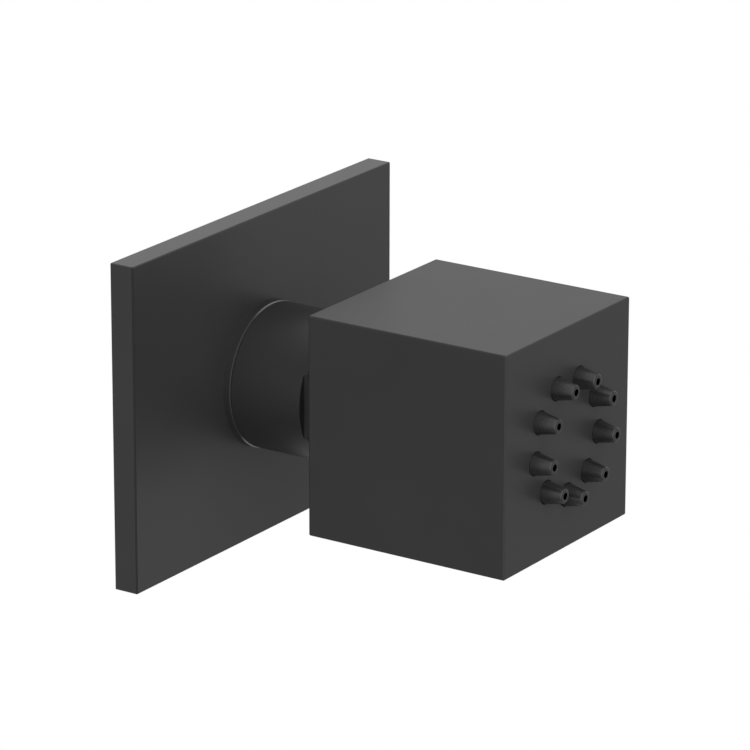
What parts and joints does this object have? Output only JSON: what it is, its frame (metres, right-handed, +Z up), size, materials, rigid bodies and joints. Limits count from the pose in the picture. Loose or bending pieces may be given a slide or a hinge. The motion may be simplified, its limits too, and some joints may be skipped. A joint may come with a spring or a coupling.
{
  "type": "shower body jet",
  "caption": "Wall-mounted cube shower jet on a rectangular plate, with a swivelling ball joint, a threaded inlet and a ring of soft nozzles.",
  "frame": {"origin": "on the axis of the inlet thread, at the wall plane that the plate's back rim lies on", "axes": "+Y into the wall along the inlet thread, +Z up, the jet points along -Y"},
  "size_m": [0.08, 0.0879, 0.06],
  "materials": {
    "black_paint": "smooth satin black coating",
    "stem_finish": "polished black plating",
    "brass": "turned, black coated where it shows",
    "seal_rubber": "matt black",
    "nozzle_silicone": "soft black silicone",
    "white_plastic": "moulded",
    "filter_plastic": "moulded",
    "seat_plastic": "smooth low friction plastic",
    "steel": "turned"
  },
  "bodies": {
    "root": {"wall_plate": "black_paint", "plate_gasket": "seal_rubber", "plate_ring": "seal_rubber", "inlet_body": "brass", "flow_regulator": "white_plastic", "regulator_ring": "seal_rubber", "filter_screen": "filter_plastic", "collar_nut": "black_paint", "nut_ring": "seal_rubber"},
    "rear_seat": {"rear_seat": "seat_plastic"},
    "front_seat": {"front_seat": "seat_plastic"},
    "head": {"ball_stem": "stem_finish", "stem_washer": "seal_rubber", "head_block": "black_paint", "rear_cover": "black_paint", "cover_ring": "seal_rubber", "cover_screws": "steel", "nozzle_mat": "nozzle_silicone", "distributor_plate": "white_plastic", "distributor_ring": "seal_rubber", "distributor_screws": "steel"}
  },
  "joints": [
    {"name": "tilt_up_down", "type": "hinge", "parent": "root", "child": "rear_seat", "pos_m": [0, -0.0156, 0], "axis": [1, 0, 0], "range_deg": [-12, 12]},
    {"name": "swing_left_right", "type": "hinge", "parent": "rear_seat", "child": "front_seat", "pos_m": [0, -0.0156, 0], "axis": [0, 0, 1], "range_deg": [-12, 12]},
    {"name": "head_spin", "type": "hinge", "parent": "front_seat", "child": "head", "pos_m": [0, -0.0156, 0], "axis": [0, -1, 0], "continuous": true}
  ]
}
